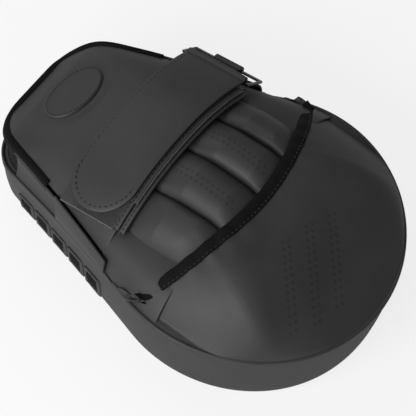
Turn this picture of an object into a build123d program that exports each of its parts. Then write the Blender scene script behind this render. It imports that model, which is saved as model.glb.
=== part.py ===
from build123d import *
import os
from math import acos, asin, atan2, cos, degrees, hypot, pi, sin, sqrt

os.makedirs("parts", exist_ok=True)

# Left-hand curved focus mitt. +X is the thumb side, +Y the fingers, +Z the back of the hand.
# The origin is under the middle of the mitt, on the surface that its two ends rest on.

# ---- driving dimensions, millimetres ----
mitt_length = 270.0
finger_radius = 93.0
wrist_corner_radius = 37.0
wrist_corner_x = 16.0
bend_radius = 400.0        # strike face, about an axis along X below the mitt
wall_height = 44.0         # strike face to rim seam, at mid length
wedge = 0.8                # lengthwise shift of each level, as a share of its height
dome_height = 42.0         # rim seam to top of the back
dome_radius = 113.0        # crosswise radius of the back
crown_y = 0.0              # highest point of the back, lengthwise
rest_flat = 0.6            # depth of the worn flats under the two ends

leather = 1.8
lining = 1.2
mesh_thickness = 0.8
front_foam = 14.0
middle_foam = 14.0
piping = 2.2
hood_foam = 4.7
rib_foam = 4.6
cuff_foam = 4.6
gap = 0.3                  # between soft pieces that can move apart

wall_split_y = -12.0       # where the round end wall meets the wrist-half walls
hood_edge_side_y = 6.0      # ends of the hood opening, at the rim
hood_edge_middle_y = 45.0  # deepest point of the hood opening
binding_width = 8.0
binding_thickness = 1.2
panel_half_width = 60.0
panel_drop = 2.4           # back panel below the hood's outer surface
rib_count = 4
rib_groove = 1.2
hem_y = -13.0              # wrist-side edge of the back panel
hem_width = 6.0

strap_y = -37.0
strap_width = 44.0
strap_leather = 1.6
strap_core = 1.4
under_end_x = 44.0
strap_tip_joint_x = 24.0
strap_tip_x = 63.0
hook_tape = 1.4
loop_tape = 1.5
wire_radius = 1.0
strap_bar_x = 67.0
tab_bar_x = 78.0
tab_bar_drop = 9.0
ring_margin = 3.5
tab_width = 20.0

cuff_joint_y = -62.0
cuff_inset = 7.0
cuff_binding = 2.2
bridge_inset = 2.2
side_panel_end_y = -100.0
badge_y = -96.0
badge_half_length = 20.0
badge_half_width = 13.0

window_count = 5
window_length = 13.0
window_pitch = 17.5
window_first_y = -100.0
window_low = 5.0
window_high = 22.0

# ---- values that follow ----
half_length = mitt_length / 2
finger_y = half_length - finger_radius
wrist_y = -half_length + wrist_corner_radius
bend_centre_z = -rest_flat - sqrt(bend_radius**2 - half_length**2)
rim = wall_height
hood_base = wall_height + piping
seat = gap - 0.1
level_shift = wedge * rim
crown_z = bend_centre_z + bend_radius + rim + dome_height
reach = half_length - crown_y
end_z = bend_centre_z + sqrt((bend_radius + rim) ** 2 - (half_length - level_shift) ** 2) + piping
crown_drop = crown_z - end_z
crown_radius = (reach**2 + crown_drop**2) / (2 * crown_drop)
torus_radius = bend_radius + rim + dome_height - dome_radius
big = 2 * mitt_length


def outline(inset):
    """Plan outline moved inwards: one large arc at the fingers, two small ones at the wrist."""
    large = finger_radius - inset
    small = wrist_corner_radius - inset
    dx, dy = -wrist_corner_x, finger_y - wrist_y
    phi = atan2(dy, dx) - acos((small - large) / hypot(dx, dy))
    fx, fy = large * cos(phi), finger_y + large * sin(phi)
    cx, cy = wrist_corner_x + small * cos(phi), wrist_y + small * sin(phi)
    mid = (phi - pi / 2) / 2
    mx, my = wrist_corner_x + small * cos(mid), wrist_y + small * sin(mid)
    ex, ey = wrist_corner_x, wrist_y - small
    edges = [
        ThreePointArc((fx, fy), (0, finger_y + large), (-fx, fy)),
        Line((-fx, fy), (-cx, cy)),
        ThreePointArc((-cx, cy), (-mx, my), (-ex, ey)),
        Line((-ex, ey), (ex, ey)),
        ThreePointArc((ex, ey), (mx, my), (cx, cy)),
        Line((cx, cy), (fx, fy)),
    ]
    return make_face(Wire(edges))


def column(inset):
    """The space above the plan outline."""
    return extrude(outline(inset), amount=big / 2)


def drum(level):
    """All that lies below the bent surface at this height above the strike face."""
    centre = Pos(0, wedge * level, bend_centre_z)
    return centre * Rot(0, 90, 0) * Cylinder(bend_radius + level, big)


def vault(depth):
    """All that lies below the domed back, moved inwards by depth."""
    centre = Pos(0, level_shift, bend_centre_z)
    ring = centre * Rot(0, 90, 0) * Torus(torus_radius, dome_radius - depth)
    crown_centre_z = crown_z - crown_radius
    crown = Pos(0, crown_y, crown_centre_z) * Rot(0, 90, 0) * Cylinder(crown_radius - depth, big)
    return ring & crown


def layer(low, high, inset):
    return (column(inset) & drum(high)) - drum(low)


def wall(outer, inner, low, high):
    return ((column(outer) - column(inner)) & drum(high)) - drum(low)


def skin(outer, inner, space):
    """The part of the domed back between two depths that lies in a space."""
    return (space & vault(outer)) - vault(inner)


def block(x0, x1, y0, y1, z0=0.0, z1=big / 2):
    size = (x1 - x0, y1 - y0, z1 - z0)
    return Pos((x0 + x1) / 2, (y0 + y1) / 2, (z0 + z1) / 2) * Box(*size)


def write(name, shape):
    shape.label = name
    export_step(shape, f"parts/{name}.step")


# ---- pad: strike face, three foam layers, palm lining ----
foam_inset = leather + mesh_thickness
front_top = leather + front_foam
middle_top = front_top + middle_foam
palm_base = rim - lining
write("strike_face_panel", layer(0, leather, 0))
write("strike_foam_front", layer(leather, front_top, foam_inset))
write("strike_foam_middle", layer(front_top, middle_top, foam_inset))
write("strike_foam_back", layer(middle_top, palm_base, foam_inset))
write("palm_lining", layer(palm_base, rim, foam_inset))

# ---- side walls: round end, wrist half with windows, mesh behind the windows ----
ahead = block(-big, big, wall_split_y, big)
behind = block(-big, big, -big, wall_split_y)
full_wall = wall(0, leather, leather, rim)
write("side_wall_front", full_wall & ahead)
rear_wall = full_wall & behind
window_band = drum(window_high) - drum(window_low)
for index in range(window_count):
    y0 = window_first_y + index * window_pitch
    opening = block(-big, big, y0, y0 + window_length) & window_band
    rear_wall = rear_wall - opening
write("side_wall_rear", rear_wall)
write("side_mesh_band", wall(leather, foam_inset, leather, palm_base) & behind)

# ---- hood over the fingers ----
hood_sag = hood_edge_middle_y - hood_edge_side_y
hood_chord = sqrt(finger_radius**2 - (finger_y - hood_edge_side_y) ** 2) + 12
mouth_radius = (hood_chord**2 + hood_sag**2) / (2 * hood_sag)
mouth_y = hood_edge_middle_y - mouth_radius


def mouth(grow):
    """The space behind the hood's curved front edge."""
    return Pos(0, mouth_y, 0) * Cylinder(mouth_radius + grow, big)


ahead_of_side = block(-big, big, hood_edge_side_y, big)
hood_space = (column(0) & ahead_of_side) - drum(hood_base) - mouth(0)
foam_depth = leather + hood_foam
hood_skirt = (hood_space & vault(leather)) - column(leather)
inner_hood = hood_space & column(leather)
write("hood_shell", skin(0, leather, hood_space) + hood_skirt)
write("hood_foam", skin(leather, foam_depth, inner_hood))
write("hood_lining", skin(foam_depth, foam_depth + lining, inner_hood))
edge_space = ((column(0) & ahead_of_side) - drum(hood_base)) & mouth(binding_width)
write("hood_binding", skin(-binding_thickness, 0, edge_space - mouth(0)))
piping_ring = wall(0, piping, rim, hood_base)
write("rim_piping", piping_ring & ahead_of_side)

# ---- back-of-hand panel: four padded ribs between a shell and a lining ----
panel_y = hem_y + hem_width
inside_mouth = mouth(-gap)
panel_space = block(-panel_half_width, panel_half_width, panel_y, big) & inside_mouth
panel_space = (panel_space & column(foam_inset)) - drum(hood_base)
rib_top = panel_drop + lining
rib_bottom = rib_top + rib_foam
write("back_panel_shell", skin(panel_drop, rib_top, panel_space))
write("back_panel_lining", skin(rib_bottom, rib_bottom + lining, panel_space))
rib_pitch = 2 * panel_half_width / rib_count
for index in range(rib_count):
    x0 = -panel_half_width + index * rib_pitch + rib_groove / 2
    strip = block(x0, x0 + rib_pitch - rib_groove, -big, big)
    write(f"back_rib_foam_{index + 1}", skin(rib_top, rib_bottom, panel_space & strip))
hem_space = block(-panel_half_width, panel_half_width, hem_y, panel_y)
write("back_panel_hem", skin(panel_drop - lining, rib_top, hem_space & column(foam_inset)))

# ---- gussets between the panel and the rim ----
gusset_space = (column(foam_inset) & inside_mouth) - drum(hood_base)
gusset_space = gusset_space & block(-big, big, hem_y, big)
thumb_half = block(panel_half_width, big, -big, big)
finger_half = block(-big, -panel_half_width, -big, big)
gusset_depth = panel_drop + lining
gusset = skin(gusset_depth, gusset_depth + leather, gusset_space)
write("thumb_gusset", gusset & thumb_half)
write("little_finger_gusset", gusset & finger_half)

# ---- wrist: side panels, padded band under the strap, hinged cuff flap ----
panel_stretch = block(-big, big, side_panel_end_y, hood_edge_side_y - gap)
side_panels = wall(0, leather, rim, big / 2) & panel_stretch & vault(0)
write("thumb_side_panel", side_panels & block(0, big, -big, big))
write("little_finger_side_panel", side_panels & block(-big, 0, -big, big))
cuff_depth = leather + cuff_foam
bridge_space = column(bridge_inset) & block(-big, big, cuff_joint_y + gap, hem_y - gap)
write("wrist_band_shell", skin(seat, leather, bridge_space))
write("wrist_band_foam", skin(leather, cuff_depth, bridge_space))
write("wrist_band_lining", skin(cuff_depth, cuff_depth + lining, bridge_space))
flap_side = block(-big, big, -big, cuff_joint_y)
flap_space = column(cuff_inset) & flap_side
write("cuff_shell", skin(seat, leather, flap_space))
write("cuff_foam", skin(leather, cuff_depth, flap_space))
write("cuff_lining", skin(cuff_depth, cuff_depth + lining, flap_space))
edge_band = (column(cuff_inset - cuff_binding) - column(cuff_inset)) & flap_side
write("cuff_binding", skin(-gap, cuff_depth + lining + gap, edge_band))
oval = extrude(Pos(0, badge_y) * Ellipse(badge_half_length, badge_half_width), amount=big / 2)
write("cuff_badge", skin(seat - lining, seat, oval))

# ---- strap: fixed under layer, top layer folded round the ring, tip with hook tape ----
strap_low = strap_y - strap_width / 2
strap_high = strap_y + strap_width / 2
under_top = -seat - strap_leather
core_bottom = under_top - gap - hook_tape - 0.1
core_top = core_bottom - strap_core
over_top = core_top - strap_leather
bar_depth = core_top + wire_radius + 0.4
bar_distance = dome_radius - bar_depth
bar_angle = asin(strap_bar_x / bar_distance)
bar_height = torus_radius + bar_distance * cos(bar_angle)
fold_inner = wire_radius + 0.4
fold_outer = fold_inner + strap_leather
tilt = degrees(asin((level_shift - strap_y) / bar_height))
strap_frame = Pos(0, level_shift, bend_centre_z) * Rot(tilt, 0, 0)


def across(x, height, radius, length):
    """A bar along the strap's width, placed in the frame of the strap."""
    return strap_frame * Pos(x, 0, height) * Rot(90, 0, 0) * Cylinder(radius, length)


under_space = block(-strap_bar_x + fold_outer + 2 * gap, under_end_x, strap_low, strap_high)
write("strap_under_layer", skin(under_top, -seat, under_space))
loop_space = block(under_end_x + gap, strap_tip_x, strap_low + 2, strap_high - 2) & column(bridge_inset)
write("loop_tape", skin(-seat - loop_tape, -seat, loop_space))
over_space = block(-strap_bar_x, strap_tip_joint_x, strap_low, strap_high)
write("strap_over_layer", skin(over_top, core_top, over_space))
core_space = block(-strap_bar_x + 8, strap_tip_joint_x, strap_low + 2, strap_high - 2)
write("strap_core", skin(core_top, core_bottom, core_space))
tip_radius = strap_width / 2
tip_centre_x = strap_tip_x - tip_radius


def tip_space(inset):
    """Plan of the strap's rounded tip."""
    straight = block(strap_tip_joint_x + gap, tip_centre_x, strap_low + inset, strap_high - inset)
    round_end = Pos(tip_centre_x, strap_y, big / 4) * Cylinder(tip_radius - inset, big / 2)
    return straight + (round_end & block(tip_centre_x, big, -big, big))


write("strap_tip_layer", skin(over_top, core_top, tip_space(0)))
write("strap_tip_core", skin(core_top, core_bottom, tip_space(2)))
write("hook_tape", skin(core_bottom, core_bottom + hook_tape, tip_space(4)))
fold_half = strap_frame * Pos(-strap_bar_x - 25, 0, bar_height) * Box(50, big, 50)
fold = across(-strap_bar_x, bar_height, fold_outer, strap_width - 4)
fold = (fold - across(-strap_bar_x, bar_height, fold_inner, strap_width)) & fold_half
write("strap_fold", fold)

# ---- wire ring and the tab that holds it ----
tab_height = bar_height - tab_bar_drop
ring_half = strap_width / 2 + ring_margin
corners = [(-strap_bar_x, bar_height), (-tab_bar_x, tab_height)]
ring = None
for x, height in corners:
    bar = across(x, height, wire_radius, 2 * ring_half)
    ring = bar if ring is None else ring + bar
slope = degrees(atan2(tab_bar_x - strap_bar_x, tab_bar_drop))
span = hypot(tab_bar_x - strap_bar_x, tab_bar_drop)
middle = ((-strap_bar_x - tab_bar_x) / 2, (bar_height + tab_height) / 2)
for side in (-1, 1):
    end = strap_frame * Pos(middle[0], side * ring_half, middle[1]) * Rot(0, slope, 0)
    ring = ring + end * Cylinder(wire_radius, span)
    for x, height in corners:
        ring = ring + strap_frame * Pos(x, side * ring_half, height) * Sphere(wire_radius)
write("strap_ring", ring)
tab_inner = wire_radius + 0.4
tab_outer = tab_inner + leather
tab_loop = across(-tab_bar_x, tab_height, tab_outer, tab_width)
foot_x = tab_bar_x - 26
foot_drop = 30
tail = Polyline(
    (-tab_bar_x - 1, tab_height - 2.2),
    (-tab_bar_x + 1, tab_height - 2.2),
    (-foot_x, tab_height - foot_drop + 1.5),
    (-foot_x, tab_height - foot_drop - 1.5),
    close=True,
)
tail = extrude(Plane.XZ * make_face(tail), amount=tab_width / 2, both=True)
tab = (tab_loop + strap_frame * tail) - across(-tab_bar_x, tab_height, tab_inner, big)
write("ring_tab", tab - column(-seat))

print("crown z", round(crown_z, 2), "crown radius", round(crown_radius, 2))
for name, x, height in [("strap", -strap_bar_x, bar_height), ("ring", -tab_bar_x, tab_height)]:
    point = strap_frame * Pos(x, 0, height)
    print(name, "axis at", point.position)
tip_height = torus_radius + sqrt((dome_radius - over_top) ** 2 - strap_tip_joint_x**2)
print("tip axis at", (strap_frame * Pos(strap_tip_joint_x, 0, tip_height)).position)
print("axis direction tilt", tilt, "over top", over_top)
flap_z = crown_z - crown_radius + sqrt((crown_radius + gap) ** 2 - (cuff_joint_y - crown_y) ** 2)
print("flap axis z", flap_z)
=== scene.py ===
import math
import random

import bmesh
import bpy
import numpy as np
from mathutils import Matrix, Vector


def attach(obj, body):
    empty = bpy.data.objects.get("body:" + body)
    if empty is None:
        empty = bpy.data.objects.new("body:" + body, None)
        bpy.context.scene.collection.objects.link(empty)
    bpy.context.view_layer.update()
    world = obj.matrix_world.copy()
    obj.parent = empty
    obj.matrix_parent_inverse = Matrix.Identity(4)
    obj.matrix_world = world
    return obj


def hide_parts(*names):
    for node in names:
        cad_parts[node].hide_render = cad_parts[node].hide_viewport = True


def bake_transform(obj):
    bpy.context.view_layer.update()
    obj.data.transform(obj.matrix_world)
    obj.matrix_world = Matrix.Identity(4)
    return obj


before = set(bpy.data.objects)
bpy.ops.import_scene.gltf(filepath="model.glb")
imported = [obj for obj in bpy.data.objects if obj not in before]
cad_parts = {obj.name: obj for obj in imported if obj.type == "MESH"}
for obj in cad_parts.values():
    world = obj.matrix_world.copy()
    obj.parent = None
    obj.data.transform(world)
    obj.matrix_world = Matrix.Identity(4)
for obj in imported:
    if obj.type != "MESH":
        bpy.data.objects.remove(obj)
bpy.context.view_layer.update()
random.seed(7)
MM = 0.001

# ---- the mitt's own sizes, millimetres, as in the CAD model ----
HALF = 135.0
FINGER_R, CORNER_R, CORNER_X = 93.0, 37.0, 16.0
FINGER_Y, WRIST_Y = HALF - FINGER_R, CORNER_R - HALF
BEND_R, RIM, DOME, DOME_R, WEDGE = 400.0, 44.0, 42.0, 113.0, 0.8
CROWN_Y, PIPING, FLAT = 0.0, 2.2, 0.6
BEND_Z = -FLAT - math.sqrt(BEND_R**2 - HALF**2)
SHIFT = WEDGE * RIM
CROWN_Z = BEND_Z + BEND_R + RIM + DOME
END_Z = BEND_Z + math.sqrt((BEND_R + RIM) ** 2 - (HALF - SHIFT) ** 2) + PIPING
CROWN_DROP = CROWN_Z - END_Z
CROWN_R = ((HALF - CROWN_Y) ** 2 + CROWN_DROP**2) / (2 * CROWN_DROP)
TORUS_R = BEND_R + RIM + DOME - DOME_R
HOOD_SIDE_Y, HOOD_MID_Y = 6.0, 45.0
HEM_Y, STRAP_Y, STRAP_W = -13.0, -37.0, 44.0
STRAP_LEVEL = 6.6
BAR_X, TIP_X, TIP_JOINT_X = 67.0, 63.0, 24.0
PANEL_X = 60.0


# ---- shape functions ----
def hull_angle(inset):
    dx, dy = -CORNER_X, FINGER_Y - WRIST_Y
    return math.atan2(dy, dx) - math.acos((CORNER_R - FINGER_R) / math.hypot(dx, dy))


def outline(inset, count=320):
    """Closed plan outline, evenly spaced, from the finger end clockwise."""
    phi = hull_angle(inset)
    big, small = FINGER_R - inset, CORNER_R - inset
    right = [(big * math.cos(a), FINGER_Y + big * math.sin(a)) for a in np.linspace(math.pi / 2, phi, 120)]
    corner = np.linspace(phi, -math.pi / 2, 40)
    right += [(CORNER_X + small * math.cos(a), WRIST_Y + small * math.sin(a)) for a in corner]
    left = [(-x, y) for x, y in reversed(right)]
    points = np.array(right + left)
    closed = np.vstack([points, points[:1]])
    steps = np.hypot(*np.diff(closed, axis=0).T)
    length = np.concatenate([[0], np.cumsum(steps)])
    at = np.linspace(0, length[-1], count, endpoint=False)
    return np.c_[np.interp(at, length, closed[:, 0]), np.interp(at, length, closed[:, 1])]


def half_width(y, inset=0.0):
    points = outline(inset)
    points = points[points[:, 0] > 0]
    order = np.argsort(points[:, 1])
    return np.interp(y, points[order, 1], points[order, 0])


def level_z(y, level):
    return BEND_Z + np.sqrt(np.maximum((BEND_R + level) ** 2 - (y - WEDGE * level) ** 2, 1.0))


def back_z(x, y, depth=0.0):
    """The domed back: lower of the crosswise vault and the lengthwise crown, blended at the crease."""
    r = DOME_R - depth
    arm = TORUS_R + np.sqrt(np.maximum(r * r - np.square(x), 1.0))
    vault = BEND_Z + np.sqrt(np.maximum(arm**2 - (y - SHIFT) ** 2, 1.0))
    c = CROWN_R - depth
    crown = CROWN_Z - CROWN_R + np.sqrt(np.maximum(c * c - (y - CROWN_Y) ** 2, 1.0))
    k = 7.0
    h = np.clip(0.5 + 0.5 * (crown - vault) / k, 0, 1)
    return crown * (1 - h) + vault * h - k * h * (1 - h) * 0.6


def mouth_y(x):
    """The curved front edge of the hood, in plan."""
    chord = math.sqrt(FINGER_R**2 - (FINGER_Y - HOOD_SIDE_Y) ** 2) + 12
    sag = HOOD_MID_Y - HOOD_SIDE_Y
    r = (chord**2 + sag**2) / (2 * sag)
    return HOOD_MID_Y - r + np.sqrt(r * r - np.square(x))


def ripple(x, y, scale, seed):
    """Smooth low waves for soft leather."""
    a = np.sin(x / scale + seed) * np.cos(y / (scale * 1.3) + 1.7 * seed)
    b = np.sin((x * 0.6 + y) / (scale * 0.7) + 2.3 * seed)
    return 0.6 * a + 0.4 * b


# ---- mesh helpers ----
def make(name, points, faces, smooth=True):
    mesh = bpy.data.meshes.new(name)
    mesh.from_pydata([tuple(np.array(p) * MM) for p in points], [], faces)
    bm = bmesh.new()
    bm.from_mesh(mesh)
    bmesh.ops.remove_doubles(bm, verts=bm.verts, dist=1e-6)
    bmesh.ops.recalc_face_normals(bm, faces=bm.faces)
    bm.to_mesh(mesh)
    bm.free()
    if smooth:
        mesh.polygons.foreach_set("use_smooth", [True] * len(mesh.polygons))
    piece = bpy.data.objects.new(name, mesh)
    bpy.context.collection.objects.link(piece)
    return piece


def grid_faces(rows, columns, wrap=False):
    faces = []
    for i in range(rows - 1):
        for j in range(columns if wrap else columns - 1):
            k = (j + 1) % columns
            faces.append((i * columns + j, i * columns + k, (i + 1) * columns + k, (i + 1) * columns + j))
    return faces


def grid(name, table, wrap=False):
    """A sheet from a table of points: rows by columns by xyz."""
    rows, columns = table.shape[:2]
    return make(name, table.reshape(-1, 3), grid_faces(rows, columns, wrap))


def thick_grid(name, table, thickness, round_edge=0.35):
    """A padded sheet: the table's surface, and its copy moved down, closed all round."""
    top = table
    du = np.gradient(table, axis=0)
    dv = np.gradient(table, axis=1)
    normal = np.cross(du, dv)
    normal /= np.maximum(np.linalg.norm(normal, axis=2, keepdims=True), 1e-9)
    if normal[..., 2].mean() < 0:
        normal = -normal
    rows, columns = table.shape[:2]
    bottom = top - normal * thickness
    points = np.concatenate([top.reshape(-1, 3), bottom.reshape(-1, 3)])
    faces = grid_faces(rows, columns)
    offset = rows * columns
    faces += [tuple(offset + i for i in reversed(f)) for f in faces]
    rim = [(0, j) for j in range(columns)] + [(i, columns - 1) for i in range(1, rows)]
    rim += [(rows - 1, j) for j in range(columns - 2, -1, -1)] + [(i, 0) for i in range(rows - 2, 0, -1)]
    ids = [i * columns + j for i, j in rim]
    for a, b in zip(ids, ids[1:] + ids[:1]):
        faces.append((a, a + offset, b + offset, b))
    piece = make(name, points, faces)
    bevel = piece.modifiers.new("edge", "BEVEL")
    bevel.width = round_edge * thickness * MM
    bevel.segments = 3
    bevel.limit_method = "ANGLE"
    bevel.angle_limit = math.radians(50)
    return piece


def frames_along(path, up=None, closed=False):
    path = np.asarray(path, float)
    if closed:
        tangent = np.roll(path, -1, axis=0) - np.roll(path, 1, axis=0)
    else:
        tangent = np.gradient(path, axis=0)
    tangent /= np.linalg.norm(tangent, axis=1, keepdims=True)
    up = np.tile([0.0, 0.0, 1.0], (len(path), 1)) if up is None else np.asarray(up, float)
    side = np.cross(tangent, up)
    side /= np.linalg.norm(side, axis=1, keepdims=True)
    lift = np.cross(side, tangent)
    return tangent, side, lift


def sweep(name, path, profile, up=None, closed=False, taper=0):
    """A closed profile of (side, lift) points carried along a path."""
    path = np.asarray(path, float)
    tangent, side, lift = frames_along(path, up, closed)
    profile = np.asarray(profile, float)
    size = np.ones(len(path))
    if taper:
        ramp = np.linspace(0.15, 1, taper)
        size[:taper], size[-taper:] = ramp, ramp[::-1]
    rings = path[:, None] + size[:, None, None] * (
        profile[None, :, :1] * side[:, None] + profile[None, :, 1:] * lift[:, None]
    )
    rows, columns = rings.shape[:2]
    faces = grid_faces(rows, columns, True)
    if closed:
        last = (rows - 1) * columns
        faces += [(last + j, last + (j + 1) % columns, (j + 1) % columns, j) for j in range(columns)]
    else:
        faces += [tuple(range(columns)), tuple((rows - 1) * columns + j for j in reversed(range(columns)))]
    return make(name, rings.reshape(-1, 3), faces)


def circle_profile(radius, count=10):
    return [(radius * math.cos(a), radius * math.sin(a)) for a in np.linspace(0, 2 * math.pi, count, endpoint=False)]


def rounded(width, height, count=5):
    """A rounded bar section, width by height."""
    r = min(width, height) / 2 * 0.9
    points = []
    for cx, cy, start in ((1, 1, 0), (-1, 1, 90), (-1, -1, 180), (1, -1, 270)):
        for a in np.linspace(start, start + 90, count):
            x = cx * (width / 2 - r) + r * math.cos(math.radians(a))
            points.append((x, cy * (height / 2 - r) + r * math.sin(math.radians(a))))
    return points


def normal_at(surface, x, y):
    e = 0.5
    dx = (surface(x + e, y) - surface(x - e, y)) / (2 * e)
    dy = (surface(x, y + e) - surface(x, y - e)) / (2 * e)
    n = np.array([-dx, -dy, 1.0])
    return n / np.linalg.norm(n)


def resample(points, pitch):
    points = np.asarray(points, float)
    steps = np.linalg.norm(np.diff(points, axis=0), axis=1)
    length = np.concatenate([[0], np.cumsum(steps)])
    count = max(2, int(length[-1] / pitch))
    at = np.linspace(0, length[-1], count)
    return np.stack([np.interp(at, length, points[:, k]) for k in range(points.shape[1])], axis=1)


def stitches(name, path, normals, pitch=3.4, length=2.3, radius=0.38):
    """A row of thread stitches lying along a path."""
    path = resample(path, pitch)
    normals = resample(normals, 1e9) if len(normals) == 2 else normals
    points, faces = [], []
    tangent = np.gradient(path, axis=0)
    tangent /= np.linalg.norm(tangent, axis=1, keepdims=True)
    at = np.linspace(0, len(normals) - 1, len(path))
    for k, p in enumerate(path):
        n = normals[int(round(at[k]))]
        t = tangent[k]
        s = np.cross(n, t)
        base = len(points)
        for along, grow in ((-0.5, 0.35), (-0.3, 1.0), (0.0, 1.15), (0.3, 1.0), (0.5, 0.35)):
            dip = -radius * 0.9 if abs(along) == 0.5 else radius * 0.35
            for a in np.linspace(0, 2 * math.pi, 6, endpoint=False):
                r = radius * grow
                points.append(p + t * along * length + n * (dip + r * math.sin(a)) + s * r * math.cos(a))
        for i in range(4):
            for j in range(6):
                q = (j + 1) % 6
                faces.append((base + i * 6 + j, base + i * 6 + q, base + i * 6 + 6 + q, base + i * 6 + 6 + j))
        faces += [tuple(base + j for j in range(6)), tuple(base + 24 + j for j in range(6))]
    return make(name, points, faces)


def holes(name, spots, radius=0.95):
    """Punched perforations: a low raised lip round a shallow dimple, one for each (point, normal); the whole piece is
    coloured darker than the leather, as painted shade for the dark inside of a hole.
    """
    points, faces = [], []
    rings = ((1.25, 0.03), (1.0, 0.1), (0.8, 0.06), (0.5, -0.2))
    for p, n in spots:
        t = np.cross(n, [0.0, 1.0, 0.2])
        t /= np.linalg.norm(t)
        s = np.cross(n, t)
        base = len(points)
        for grow, lift in rings:
            for a in np.linspace(0, 2 * math.pi, 10, endpoint=False):
                r = radius * grow
                points.append(p + r * math.cos(a) * t + r * math.sin(a) * s + n * lift)
        for i in range(3):
            for j in range(10):
                q = (j + 1) % 10
                faces.append((base + i * 10 + j, base + i * 10 + q, base + i * 10 + 10 + q, base + i * 10 + 10 + j))
        faces.append(tuple(base + 30 + j for j in range(10)))
    return make(name, points, faces)


# ---- materials ----
def material(name, color, roughness, grain=900.0, bump=0.25, spread=0.25, sheen=0.0, coat=0.0):
    mat = bpy.data.materials.new(name)
    mat.use_nodes = True
    nodes, links = mat.node_tree.nodes, mat.node_tree.links
    shader = nodes["Principled BSDF"]
    shader.inputs["Sheen Weight"].default_value = sheen
    shader.inputs["Coat Weight"].default_value = coat
    place = nodes.new("ShaderNodeTexCoord")
    cloud = nodes.new("ShaderNodeTexNoise")
    cloud.inputs["Scale"].default_value = 28.0
    cloud.inputs["Detail"].default_value = 6.0
    links.new(place.outputs["Object"], cloud.inputs["Vector"])
    ramp = nodes.new("ShaderNodeValToRGB")
    ramp.color_ramp.elements[0].position = 0.3
    ramp.color_ramp.elements[1].position = 0.72
    ramp.color_ramp.elements[0].color = [c * (1 - spread) for c in color] + [1]
    ramp.color_ramp.elements[1].color = [c * (1 + spread) for c in color] + [1]
    links.new(cloud.outputs["Fac"], ramp.inputs["Fac"])
    links.new(ramp.outputs["Color"], shader.inputs["Base Color"])
    rough = nodes.new("ShaderNodeMapRange")
    rough.inputs["To Min"].default_value = roughness - 0.07
    rough.inputs["To Max"].default_value = roughness + 0.07
    links.new(cloud.outputs["Fac"], rough.inputs["Value"])
    links.new(rough.outputs["Result"], shader.inputs["Roughness"])
    pebble = nodes.new("ShaderNodeTexVoronoi")
    pebble.feature = "DISTANCE_TO_EDGE"
    pebble.inputs["Scale"].default_value = grain
    links.new(place.outputs["Object"], pebble.inputs["Vector"])
    crease = nodes.new("ShaderNodeTexNoise")
    crease.inputs["Scale"].default_value = grain * 0.35
    crease.inputs["Detail"].default_value = 4.0
    links.new(place.outputs["Object"], crease.inputs["Vector"])
    height = nodes.new("ShaderNodeMath")
    height.operation = "MULTIPLY_ADD"
    height.inputs[1].default_value = 0.6
    links.new(pebble.outputs["Distance"], height.inputs[0])
    links.new(crease.outputs["Fac"], height.inputs[2])
    relief = nodes.new("ShaderNodeBump")
    relief.inputs["Strength"].default_value = bump
    relief.inputs["Distance"].default_value = 0.0004
    links.new(height.outputs[0], relief.inputs["Height"])
    links.new(relief.outputs["Normal"], shader.inputs["Normal"])
    return mat


def woven(name, color, roughness=0.75, pitch=0.0012, sheen=0.15):
    """Woven tape or mesh: crossed waves for the threads."""
    mat = material(name, color, roughness, grain=1500, bump=0.2, sheen=sheen)
    mat.node_tree.nodes["Principled BSDF"].inputs["Specular IOR Level"].default_value = 0.15
    nodes, links = mat.node_tree.nodes, mat.node_tree.links
    place = next(n for n in nodes if n.type == "TEX_COORD")
    relief = next(n for n in nodes if n.type == "BUMP")
    waves = []
    for direction in ("DIAGONAL", "Z"):
        wave = nodes.new("ShaderNodeTexWave")
        wave.bands_direction = direction
        wave.inputs["Scale"].default_value = 0.31 / pitch
        links.new(place.outputs["Object"], wave.inputs["Vector"])
        waves.append(wave)
    cross = nodes.new("ShaderNodeMath")
    cross.operation = "MULTIPLY"
    links.new(waves[0].outputs["Fac"], cross.inputs[0])
    links.new(waves[1].outputs["Fac"], cross.inputs[1])
    links.new(cross.outputs[0], relief.inputs["Height"])
    relief.inputs["Strength"].default_value = 0.6
    return mat


LEATHER = material("leather_charcoal", (0.027, 0.027, 0.0285), 0.56, 950, 0.3, 0.2)
EDGE = material("leather_cut_edge", (0.075, 0.075, 0.075), 0.6, 1400, 0.3, 0.2)
BINDING = woven("binding_tape", (0.0035, 0.0035, 0.004), 0.8, sheen=0.0)
LINING = woven("lining_cloth", (0.02, 0.02, 0.021), 0.85, 0.0016)
# Black mesh, darker than the black binding: partly the mesh's own colour, partly painted shade of the hollow seen
# through the window.
MESH = woven("window_mesh_and_painted_shade", (0.0025, 0.0025, 0.0025), 0.9, 0.0022, sheen=0.0)
LOOP = material("loop_pile", (0.022, 0.022, 0.023), 0.95, 1700, 1.0, 0.6, sheen=0.5)
THREAD = material("thread_dark", (0.012, 0.012, 0.013), 0.7, 2500, 0.3, 0.3)
# Darker than the leather: painted shade for the dark inside of the punched holes, which are only shallow dimples here.
HOLE_PAINTED_SHADE = material("punched_hole_painted_shade", (0.012, 0.012, 0.012), 0.8, 2500, 0.2, 0.2)
FOAM = material("foam_dark", (0.05, 0.05, 0.05), 0.9, 1300, 0.8, 0.2)
RING = material("ring_enamel", (0.008, 0.008, 0.008), 0.16, 400, 0.05, 0.2, coat=0.5)


def finish(piece, mat, body="root", replaces=()):
    piece.data.materials.clear()
    piece.data.materials.append(mat)
    if body:
        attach(piece, body)
    if replaces:
        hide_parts(*replaces)
    return piece


# ---- pad: wall, strike face ----
def wall_inset(y, level):
    """The wall bulges at mid height, and tilts under towards the finger end."""
    bulge = -0.9 * math.sin(math.pi * level / RIM)
    tilt = np.where(y > 0, 9.0 * np.square(y / HALF), 2.0 * np.square(y / HALF))
    return 1.4 + bulge + tilt * (1 - level / RIM)


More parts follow.
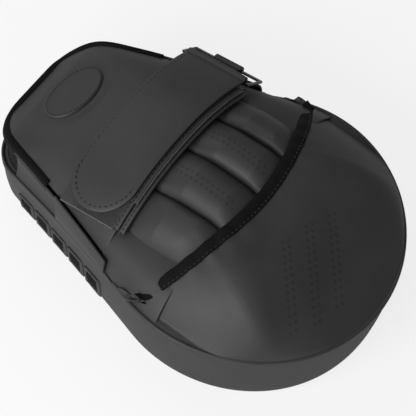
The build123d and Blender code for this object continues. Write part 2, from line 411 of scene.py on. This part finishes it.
def ring_at(level, extra=0.0, count=320, wave=0.0):
    base = outline(0, count)
    centre_y = np.clip(base[:, 1], WRIST_Y, FINGER_Y)
    out = np.c_[base[:, 0] - np.clip(base[:, 0], -CORNER_X, CORNER_X) * (base[:, 1] < WRIST_Y), base[:, 1] - centre_y]
    out /= np.maximum(np.linalg.norm(out, axis=1, keepdims=True), 1e-6)
    inset = wall_inset(base[:, 1], level) + extra
    ripples = wave * ripple(base[:, 0], base[:, 1] + level, 9.0, 2.0)
    plan = base - out * (inset + ripples)[:, None]
    return np.c_[plan, level_z(plan[:, 1], level)]


def pad_wall():
    levels = [44.6, 44.2, 43.6, 42.6, 41, 38, 33, 27, 21, 15, 10, 6, 4, 2.6, 1.6, 0.9, 0.5]
    extras = [3.0, 1.6, 0.8, 0.3, 0, 0, 0, 0, 0, 0, 0, 0, 0.1, 0.35, 0.8, 1.5, 2.4]
    rings = [ring_at(l, e, wave=0.18 if 4 < l < 42 else 0.0) for l, e in zip(levels, extras)]
    nodes = ("side_wall_front", "side_wall_rear", "side_mesh_band")
    return finish(grid("pad_side_wall", np.array(rings), True), LEATHER, replaces=nodes)


def strike_face():
    first = ring_at(0.7, 2.0)
    spine = np.clip(first[:, 1], -70, 45)
    shares = [0, 0.004, 0.012, 0.03, 0.06, 0.12, 0.2, 0.3, 0.42, 0.55, 0.7, 0.85, 0.97]
    rings = []
    for k, share in enumerate(shares):
        x = first[:, 0] * (1 - share)
        y = first[:, 1] + (spine - first[:, 1]) * share
        sink = (0.0, -0.25, -0.45, -0.5)[k] if k < 4 else -0.5
        rings.append(np.c_[x, y, np.maximum(level_z(y, 0.0) + 0.7 + sink, 0.05)])
    last = len(rings) * len(first) - len(first)
    table = np.array(rings)
    count = len(first)
    faces = grid_faces(len(rings), count, True)
    faces.append(tuple(last + j for j in range(count)))
    piece = make("strike_face_leather", table.reshape(-1, 3), faces)
    nodes = ("strike_face_panel", "strike_foam_front", "strike_foam_middle", "strike_foam_back")
    finish(piece, LEATHER, replaces=nodes)
    for name, share in (("target_seam_outer", 0.34), ("target_seam_inner", 0.66)):
        x = first[:, 0] * (1 - share)
        y = first[:, 1] + (spine - first[:, 1]) * share
        path = np.c_[x, y, level_z(y, 0.0) - 0.05]
        path = np.vstack([path, path[:1]])
        finish(stitches(name, path, np.tile([0, 0, -1.0], (len(path), 1)), 4.2, 2.8), THREAD)


def piping():
    base = ring_at(RIM + 0.9, -0.2)
    base = np.roll(base, -160, axis=0)
    keep = base[base[:, 1] > HOOD_SIDE_Y - 10]
    finish(sweep("rim_bead", keep, circle_profile(1.45), taper=8), LEATHER, replaces=("rim_piping",))
    low = base[base[:, 1] <= HOOD_SIDE_Y - 8]
    for side, name in ((1, "thumb"), (-1, "little_finger")):
        path = low[low[:, 0] * side > 0]
        path = path[np.argsort(path[:, 1])][4:]
        path = np.c_[path[:, :2] + [side * 0.2, 0], level_z(path[:, 1], RIM - 1.5)]
        finish(sweep(f"{name}_wall_tape", path, rounded(1.6, 5.5), taper=4), LEATHER)


# ---- hood ----
def hood_table(along=150, across=46):
    base = np.roll(outline(0, 720), 360, axis=0)
    edge = base[base[:, 1] > HOOD_SIDE_Y - 4]
    edge = resample(edge[np.argsort(np.arctan2(edge[:, 0], edge[:, 1] - HOOD_SIDE_Y + 4))], 1.0)
    edge = edge[np.linspace(0, len(edge) - 1, along).astype(int)]
    share = np.linspace(-1, 1, along)
    limit = half_width(HOOD_SIDE_Y) - 1.5
    mx = limit * np.sign(share) * (1 - (1 - np.abs(share)) ** 1.25)
    start = np.c_[mx, np.maximum(mouth_y(mx), HOOD_SIDE_Y - 4)]
    v = 1 - (1 - np.linspace(0, 1, across)) ** 1.9
    plan = start[None] + (edge - start)[None] * v[:, None, None]
    x, y = plan[..., 0], plan[..., 1]
    inward = plan - np.array([0, 20.0])
    inward /= np.linalg.norm(inward, axis=2, keepdims=True)
    x = x - inward[..., 0] * 1.0 * v[:, None]
    y = y - inward[..., 1] * 1.0 * v[:, None]
    foot = level_z(y, RIM) + PIPING * 0.8
    rise = np.maximum(back_z(x, y) - foot, 0)
    ends = np.clip(1 - np.abs(share), 0, 1)[None]
    swell = np.sqrt(np.maximum(1 - v[:, None] ** 5, 0))
    puff = 3.2 * np.sin(math.pi * np.clip(v[:, None] * 1.05, 0, 1)) * (0.35 + 0.65 * np.sqrt(ends))
    pucker = 0.9 * np.exp(-(v[:, None] / 0.16) ** 2) * np.sin(share[None] * 46) * np.exp(-((np.abs(share[None]) - 0.45) / 0.35) ** 2)
    z = foot + rise * swell + puff * 0.8 + pucker * 0.6 + 0.35 * ripple(x, y, 13.0, 1.0) * (1 - v[:, None] ** 4)
    z = np.maximum(z, foot)
    return np.stack([x, y, z], axis=2)


def hood():
    table = hood_table()
    piece = thick_grid("finger_hood", table, 4.0, 0.2)
    nodes = ("hood_shell", "hood_foam", "hood_lining")
    finish(piece, LEATHER, replaces=nodes)
    edge = table[0]
    inner = table[3] - table[0]
    inner /= np.maximum(np.linalg.norm(inner, axis=1, keepdims=True), 1e-6)
    along = np.gradient(edge, axis=0)
    up = np.cross(along, inner)
    up /= np.linalg.norm(up, axis=1, keepdims=True)
    up *= np.sign(up[:, 2:])
    sign = np.sign((np.cross(along, up) * inner).sum(axis=1).mean())
    profile = [(6.3, 0.3), (6.4, 0.9), (5.6, 1.15), (2.5, 1.3), (0.4, 1.3), (-1.2, 0.7), (-1.9, -0.8)]
    profile += [(-1.7, -3.2), (-0.6, -5.0), (2.0, -5.6), (5.0, -5.4), (5.2, -4.8), (1.0, -4.5), (0.0, -3.0), (0.4, -0.2)]
    profile = [(sign * a, b) for a, b in profile]
    edge, up, inner = edge[5:-5], up[5:-5], inner[5:-5]
    finish(sweep("hood_edge_binding", edge, profile, up=up), BINDING, replaces=("hood_binding",))
    row = edge + inner * 5.2 + up * 1.15
    finish(stitches("hood_binding_stitches", row[4:-4], up[4:-4], 3.2, 2.0, 0.3), THREAD)
    return table


def on_table(table, plan):
    """The nearest point of a table to a plan position, with its normal."""
    d = np.hypot(table[..., 0] - plan[0], table[..., 1] - plan[1])
    i, j = np.unravel_index(np.argmin(d), d.shape)
    i = min(max(i, 1), table.shape[0] - 2)
    j = min(max(j, 1), table.shape[1] - 2)
    du = table[i + 1, j] - table[i - 1, j]
    dv = table[i, j + 1] - table[i, j - 1]
    n = np.cross(du, dv)
    n /= np.linalg.norm(n)
    n = n if n[2] > 0 else -n
    p = table[i, j]
    z = p[2] - (n[0] * (plan[0] - p[0]) + n[1] * (plan[1] - p[1])) / n[2]
    return np.array([plan[0], plan[1], z]), n


def hood_perforations(table):
    """Three slanting double rows of punched holes on the thumb side of the hood."""
    spots = []
    step = np.array([0.74, 0.67])
    beside = np.array([0.67, -0.74])
    for start_x, start_y, count in ((11.0, 73.0, 13), (-7.0, 77.0, 14), (-22.0, 83.0, 13)):
        for twin in (-1.9, 1.9):
            for k in range(count):
                along = k * 4.1 + (2.0 if twin > 0 else 0.0)
                plan = np.array([start_x, start_y]) + step * along + beside * twin
                if FINGER_R - 9 > math.hypot(plan[0], plan[1] - FINGER_Y):
                    spots.append(on_table(table, plan))
    finish(holes("hood_perforations", spots, 0.8), HOLE_PAINTED_SHADE)


# ---- back panel ----
RIBS = (-60.0, -33.0, -3.0, 29.0, 60.0)


def panel_z(x, y):
    share = np.zeros_like(x)
    half = np.ones_like(x)
    for a, b in zip(RIBS, RIBS[1:]):
        inside = (x >= a) & (x <= b)
        share = np.where(inside, (x - (a + b) / 2) / ((b - a) / 2), share)
        half = np.where(inside, (b - a) / 2, half)
    crown = 1 - np.abs(share) ** 2.6
    distance = half * (1 - np.abs(share))
    groove = np.exp(-((distance / 1.5) ** 2))
    taper = np.clip((y - HEM_Y + 2) / 22, 0, 1)
    tuck = np.clip((mouth_y(x) - y + 2) / 14, 0, 1) ** 0.6
    height = (1.6 + 5.2 * taper * tuck) * crown
    return back_z(x, y, 6.4 - 1.6 * taper * tuck) + height - 1.8 * groove + 0.3 * ripple(x, y, 10, 3.0)


def back_panel():
    along = 70
    xs = np.unique(np.concatenate([np.linspace(a, b, 30) for a, b in zip(RIBS, RIBS[1:])]))
    start = HEM_Y - 2
    end = mouth_y(xs) + 6
    v = np.linspace(0, 1, along)
    y = start + (end - start)[None] * v[:, None]
    x = np.tile(xs, (along, 1))
    table = np.stack([x, y, panel_z(x, y)], axis=2)
    nodes = ["back_panel_shell", "back_panel_lining"] + [f"back_rib_foam_{i}" for i in (1, 2, 3, 4)]
    finish(thick_grid("back_of_hand_panel", table, 3.0), LEATHER, replaces=nodes)
    for k, seam in enumerate(RIBS[1:-1]):
        ys = np.linspace(start + 1, mouth_y(seam) - 1, 40)
        path = np.c_[np.full(40, seam), ys, panel_z(np.full(40, seam), ys) + 0.1]
        finish(stitches(f"rib_seam_{k + 1}", path, np.tile([0, 0, 1.0], (40, 1)), 3.0, 2.2, 0.3), THREAD)
    for side, name in ((1, "thumb"), (-1, "little_finger")):
        ys = np.linspace(start, mouth_y(PANEL_X) + 2, 40)
        xs = np.full(40, side * (PANEL_X + 0.4))
        path = np.c_[xs, ys, panel_z(np.full(40, side * PANEL_X * 0.999), ys) - 0.3]
        finish(sweep(f"{name}_panel_edge", path, rounded(0.9, 2.4)), EDGE)
    spots = []
    for centre, first in ((13.0, -7.0), (-18.0, -3.0)):
        for twin in (-2.0, 2.0):
            for k in range(18):
                y = first + k * 3.9 + (1.9 if twin > 0 else 0)
                x = centre + twin + 0.05 * (y - first)
                if y < mouth_y(x) - 6:
                    n = normal_at(lambda a, b: float(panel_z(np.array([a]), np.array([b]))[0]), x, y)
                    spots.append((np.array([x, y, float(panel_z(np.array([x]), np.array([y]))[0])]), n))
    finish(holes("panel_perforations", spots, 0.75), HOLE_PAINTED_SHADE)


def hem():
    for k, (y, width, lift) in enumerate(((HEM_Y - 2.5, 4.5, 1.6), (HEM_Y + 2.2, 4.0, 0.9))):
        xs = np.linspace(-62, 62, 80)
        ys = np.full(80, y)
        z = back_z(xs, ys, 1.2) + lift
        path = np.c_[xs, ys, z]
        up = np.array([normal_at(lambda a, b: float(back_z(a, b)), x, y) for x in xs])
        piece = sweep(f"panel_hem_band_{k + 1}", path, rounded(width, 1.8), up=up)
        finish(piece, LEATHER, replaces=("back_panel_hem",) if k == 0 else ())
        finish(stitches(f"panel_hem_stitches_{k + 1}", path + up * 0.9, up, 3.0, 2.0, 0.3), THREAD)


def gussets():
    for side, name in ((1, "thumb"), (-1, "little_finger")):
        rows = []
        for y in np.linspace(HEM_Y - 4, HOOD_SIDE_Y + 30, 40):
            outer = float(half_width(y)) - 1.6
            a = np.array([PANEL_X - 4, back_z(PANEL_X - 4, y, 5.0)])
            b = np.array([outer, level_z(y, RIM) + 0.4])
            t = np.linspace(0, 1, 24)
            out = np.array([b[1] - a[1], -(b[0] - a[0])])
            out = -out / np.linalg.norm(out)
            bow = 5.0 * np.sin(math.pi * t)
            x = a[0] + (b[0] - a[0]) * t + out[0] * bow * np.sign(out[1])
            z = a[1] + (b[1] - a[1]) * t + out[1] * bow * np.sign(out[1])
            rows.append(np.c_[side * np.minimum(x, outer), np.full(24, y), z])
        piece = thick_grid(f"{name}_gusset_leather", np.array(rows), 1.6)
        finish(piece, LEATHER, replaces=(f"{name}_gusset",))


# ---- wrist half: side panels with mesh windows, cover and flap ----
def side_panels():
    for side, name in ((1, "thumb"), (-1, "little_finger")):
        rows = []
        for y in np.linspace(-104, HEM_Y + 2, 60):
            outer = float(half_width(y)) - 0.6
            low = level_z(y, RIM) - 1.0
            top = float(back_z(outer - 4, y)) - 1.0
            if y < -62:
                top -= 3.5
            t = np.linspace(0, 1, 14)
            sink = 2.6 * np.sin(math.pi * t) * (1 if y < -60 else -0.4)
            x = outer - sink - 1.8 * t
            rows.append(np.c_[side * x, np.full(14, y), low + (top - low) * t])
        piece = thick_grid(f"{name}_wing_panel", np.array(rows), 1.6)
        finish(piece, LEATHER, replaces=(f"{name}_side_panel",))
        windows(side, name)


def window_point(side, y, level, lift):
    x = float(half_width(y)) - float(wall_inset(y, level)) + lift
    return [side * x, y, float(level_z(y, level))]


def windows(side, name):
    """Dark mesh panels in raised leather frames, along the foot of the wall; each mesh is a solid sheet whose
    near-black colour is partly the black mesh and partly painted shade of the hollow behind it.
    """
    first, length, pitch, low, high = -100.0, 13.0, 17.5, 4.5, 23.0
    for k in range(5):
        y0, y1 = first + k * pitch, first + k * pitch + length
        rows = []
        for y in np.linspace(y0, y1, 12):
            outer = [window_point(side, y, l, 0.35 + 0.5 * math.sin(math.pi * (l - low) / (high - low)))
                     for l in np.linspace(low, high, 10)]
            inner = [window_point(side, y, l, -0.6) for l in np.linspace(high, low, 10)]
            rows.append(outer + inner)
        mesh = grid(f"{name}_window_mesh_{k + 1}", np.array(rows), True)
        finish(mesh, MESH)
        loop = [(y, low) for y in np.linspace(y0, y1, 10)] + [(y1, l) for l in np.linspace(low, high, 10)[1:]]
        loop += [(y, high) for y in np.linspace(y1, y0, 10)[1:]] + [(y0, l) for l in np.linspace(high, low, 10)[1:-1]]
        path = np.array([window_point(side, y, l, 0.3) for y, l in loop])
        up = np.tile([float(side), 0.001, 0.001], (len(path), 1))
        frame_piece = sweep(f"{name}_window_frame_{k + 1}", path, rounded(2.8, 1.3), up=up, closed=True)
        finish(frame_piece, LEATHER)


def cover_outline(y, inset=5.5):
    return float(half_width(max(y, -129.0), inset))


def cuff():
    """The padded cover from under the strap to the wrist end."""
    rows = []
    ys = -128.5 + (HEM_Y - 2 + 128.5) * (1 - (1 - np.linspace(0, 1, 90)) ** 1.0)
    for y in ys:
        width = cover_outline(y)
        s = np.sin(np.linspace(-math.pi / 2, math.pi / 2, 60))
        x = width * s
        base = back_z(x, np.full(60, y), 0.4)
        soft = 2.4 * (1 - np.abs(s) ** 5) * min(1.0, (y + 129.5) / 16)
        droop = 2.2 * np.abs(s) ** 8
        dimple = -0.7 * np.exp(-((np.hypot(x / 24, (y + 96) / 17) - 1) / 0.16) ** 2)
        rows.append(np.c_[x, np.full(60, y), base - 1.4 + soft - droop + dimple + 0.3 * ripple(x, y, 14, 5.0)])
    table = np.array(rows)
    piece = thick_grid("wrist_cuff_cover", table, 6.0, 0.2)
    nodes = ("wrist_band_shell", "wrist_band_foam", "wrist_band_lining", "cuff_shell", "cuff_foam", "cuff_lining")
    finish(piece, LEATHER, body=None, replaces=nodes)
    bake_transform(piece)
    right = [table[i, -1] for i in range(45, -1, -1)]
    end = [table[0, j] for j in range(58, 0, -1)]
    left = [table[i, 0] for i in range(0, 46)]
    path = resample(np.array(right + end + left), 2.0)
    for _ in range(4):
        path[1:-1] = (path[:-2] + 2 * path[1:-1] + path[2:]) / 4
    path[:, 2] -= 2.2
    profile = [(2.0, 3.6), (1.0, 4.3), (-3.0, 4.4), (-3.4, 3.7), (0.0, 2.8), (0.6, 0), (0.2, -3.6)]
    profile += [(-3.4, -4.6), (-3.2, -5.4), (1.0, -5.0), (2.4, -3.6), (2.8, 0.0)]
    side = np.cross(np.gradient(path, axis=0), [0, 0, 1.0])
    sign = np.sign((side * (path - [0, -80, 60])).sum(axis=1).mean())
    band = sweep("cuff_edge_binding", path, [(sign * a, b) for a, b in profile])
    finish(band, BINDING, "cuff", ("cuff_binding",))
    return table


def badge(table):
    """A bare stitched oval patch."""
    centre = np.array([0.0, -96.0])
    rings = ((0.0, 1.1), (0.5, 1.15), (0.85, 1.1), (0.95, 1.5), (1.0, 1.45), (1.04, 0.6), (1.05, -0.4))
    points, count = [], 64
    for share, lift in rings:
        for a in np.linspace(0, 2 * math.pi, count, endpoint=False):
            reach = max(share, 0.02)
            p, n = on_table(table, centre + reach * np.array([21.5 * math.cos(a), 14.0 * math.sin(a)]))
            points.append(p + n * lift)
    piece = make("cuff_oval_patch", points, grid_faces(len(rings), count, True))
    finish(piece, LEATHER, "cuff", replaces=("cuff_badge",))
    path, normals = [], []
    for a in np.linspace(0, 2 * math.pi, 90):
        p, n = on_table(table, centre + 0.97 * np.array([21.5 * math.cos(a), 14.0 * math.sin(a)]))
        path.append(p + n * 1.6)
        normals.append(n)
    finish(stitches("cuff_patch_stitches", path, normals, 2.2, 1.6, 0.28), THREAD, "cuff")


# ---- strap ----
def strap_profile(level):
    """Points across the back, from the tip to the ring."""
    xs = np.linspace(TIP_X, -BAR_X + 1.0, 110)
    return xs


def strap_top(x, y, level=STRAP_LEVEL):
    return back_z(x, y, -level)


def strap():
    rows = []
    low, high = STRAP_Y - STRAP_W / 2, STRAP_Y + STRAP_W / 2
    round_x = TIP_X - STRAP_W / 2
    s = np.linspace(-1, 1, 25)
    for x in strap_profile(STRAP_LEVEL):
        half = STRAP_W / 2
        if x > round_x:
            half = math.sqrt(max((STRAP_W / 2) ** 2 - (x - round_x) ** 2, 1.0))
        y = STRAP_Y + half * s
        crown = 0.7 * (1 - np.abs(s) ** 4)
        z = strap_top(np.full(25, x), np.full(25, STRAP_Y) + (y - STRAP_Y) * 0.9) + crown - 0.5
        rows.append(np.c_[np.full(25, x), y, z])
    last = rows[-1]
    radius = 2.9
    slope = math.asin(BAR_X / (DOME_R + STRAP_LEVEL))
    for a in np.linspace(0.15, 1.0, 8) * math.pi:
        dx = -radius * math.sin(a)
        dz = -radius * (1 - math.cos(a))
        turn = np.array([math.cos(slope) * dx + math.sin(slope) * dz, -math.sin(slope) * -dx * -1 + math.cos(slope) * dz])
        rows.append(last + np.array([turn[0], 0, turn[1]]))
    table = np.array(rows)
    piece = thick_grid("wrist_strap", table, 1.7, 0.3)
    nodes = ("strap_over_layer", "strap_core", "strap_fold", "strap_tip_layer", "strap_tip_core")
    finish(piece, LEATHER, body=None, replaces=nodes)
    y = STRAP_Y * MM
    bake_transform(piece)
    body = table[:105]
    inner = 2.6
    edge = []
    for i in range(104, 0, -1):
        edge.append(body[i, 0] + [0, inner, 0.35])
    nose = [np.array([round_x + (STRAP_W / 2 - inner) * math.cos(a), STRAP_Y + (STRAP_W / 2 - inner) * math.sin(a), 0])
            for a in np.linspace(-math.pi / 2, math.pi / 2, 30)]
    flat = [p for p in edge if p[0] < round_x]
    nose = [np.array([p[0], p[1], float(strap_top(p[0], STRAP_Y + (p[1] - STRAP_Y) * 0.9)) + 0.0]) for p in nose]
    back = [np.array([p[0], 2 * STRAP_Y - p[1], p[2]]) for p in reversed(flat)]
    path = np.array(flat + nose + back)
    normals = [normal_at(lambda a, b: float(back_z(a, b)), p[0], p[1]) for p in path]
    for k in (0, 1):
        near = path[:, 0] >= TIP_JOINT_X if k else path[:, 0] < TIP_JOINT_X
        if k:
            finish(stitches("strap_tip_stitches", path[near], np.array(normals)[near]), THREAD, "strap_tip")
        else:
            for side, mask in (("low", path[:, 1] < STRAP_Y), ("high", path[:, 1] > STRAP_Y)):
                pick = near & mask
                finish(stitches(f"strap_stitches_{side}", path[pick], np.array(normals)[pick]), THREAD, "strap")
    under_layer()


def under_layer():
    rows = []
    for x in np.linspace(-BAR_X + 7, 46, 90):
        y = np.linspace(STRAP_Y - STRAP_W / 2 + 1, STRAP_Y + STRAP_W / 2 + 3.2, 16)
        rows.append(np.c_[np.full(16, x), y, back_z(np.full(16, x), y, -3.0)])
    table = np.array(rows)
    finish(thick_grid("strap_lower_layer", table, 1.8, 0.3), LEATHER, replaces=("strap_under_layer",))
    edge = table[:, -1] + [0, 0.5, -0.9]
    finish(sweep("strap_lower_raw_edge", edge, rounded(0.8, 1.5)), EDGE)
    path = table[:, -1] + [0, -2.2, 0.1]
    up = np.array([normal_at(lambda a, b: float(back_z(a, b)), p[0], p[1]) for p in path])
    finish(stitches("strap_lower_stitches", path, up, 3.2, 2.1, 0.3), THREAD)


# ---- kept CAD nodes ----
def kept_nodes():
    chosen = {"palm_lining": LINING, "strap_ring": RING, "ring_tab": LEATHER, "hook_tape": LOOP, "loop_tape": LOOP}
    for name, mat in chosen.items():
        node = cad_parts[name]
        if node.material_slots:
            node.material_slots[0].material = mat
        else:
            node.data.materials.append(mat)


# ---- floor, lights, camera ----
def backdrop():
    bpy.ops.mesh.primitive_plane_add(size=12, location=(0, 0, -0.0004))
    floor = bpy.context.object
    floor.name = "floor"
    mat = bpy.data.materials.new("floor_white")
    mat.use_nodes = True
    nodes, links = mat.node_tree.nodes, mat.node_tree.links
    shader = nodes["Principled BSDF"]
    shader.inputs["Base Color"].default_value = (0.9, 0.9, 0.9, 1)
    shader.inputs["Roughness"].default_value = 0.9
    glow = nodes.new("ShaderNodeEmission")
    path = nodes.new("ShaderNodeLightPath")
    share = nodes.new("ShaderNodeMath")
    share.operation = "MULTIPLY"
    share.inputs[1].default_value = 0.8
    mix = nodes.new("ShaderNodeMixShader")
    links.new(path.outputs["Is Camera Ray"], share.inputs[0])
    links.new(share.outputs[0], mix.inputs["Fac"])
    links.new(shader.outputs[0], mix.inputs[1])
    links.new(glow.outputs[0], mix.inputs[2])
    links.new(mix.outputs[0], nodes["Material Output"].inputs["Surface"])
    floor.data.materials.append(mat)
    world = bpy.data.worlds.new("studio")
    world.use_nodes = True
    tree = world.node_tree
    sky = tree.nodes["Background"]
    sky.inputs["Color"].default_value = (1, 1, 1, 1)
    sky.inputs["Strength"].default_value = 0.25
    bright = tree.nodes.new("ShaderNodeBackground")
    bright.inputs["Strength"].default_value = 1.0
    rays = tree.nodes.new("ShaderNodeLightPath")
    pick = tree.nodes.new("ShaderNodeMixShader")
    tree.links.new(rays.outputs["Is Camera Ray"], pick.inputs["Fac"])
    tree.links.new(sky.outputs[0], pick.inputs[1])
    tree.links.new(bright.outputs[0], pick.inputs[2])
    tree.links.new(pick.outputs[0], tree.nodes["World Output"].inputs["Surface"])
    bpy.context.scene.world = world


def lamp(name, place, power, size):
    data = bpy.data.lights.new(name, "AREA")
    data.energy, data.size = power, size
    lamp_object = bpy.data.objects.new(name, data)
    lamp_object.location = place
    lamp_object.rotation_euler = (Vector((0, 0, 0.05)) - Vector(place)).to_track_quat("-Z", "Y").to_euler()
    bpy.context.collection.objects.link(lamp_object)


def camera():
    azimuth, elevation, distance = math.radians(127.0), math.radians(60.2), 1.6
    back = Vector((math.sin(azimuth) * math.cos(elevation), -math.cos(azimuth) * math.cos(elevation), math.sin(elevation)))
    right = Vector((math.cos(azimuth), math.sin(azimuth), 0))
    up = back.cross(right)
    target = Vector((0, 0, 0.0224)) + right * 0.0058 + up * 0.0103
    data = bpy.data.cameras.new("camera")
    data.lens = 220.8
    data.sensor_width = 36.0
    view = bpy.data.objects.new("camera", data)
    view.location = target + back * distance
    view.rotation_euler = back.to_track_quat("Z", "Y").to_euler()
    bpy.context.collection.objects.link(view)
    bpy.context.scene.camera = view


camera()
kept_nodes()
pad_wall()
strike_face()
piping()
hood_points = hood()
hood_perforations(hood_points)
back_panel()
hem()
gussets()
side_panels()
cuff_points = cuff()
badge(cuff_points)
strap()
backdrop()
lamp("key", (1.25, -0.1, 0.85), 17, 0.9)
lamp("fill", (-0.5, -1.1, 1.2), 6, 1.2)
lamp("front", (1.1, 0.9, 0.5), 1.5, 0.8)
bpy.context.scene.view_settings.view_transform = "Standard"
bpy.context.view_layer.update()
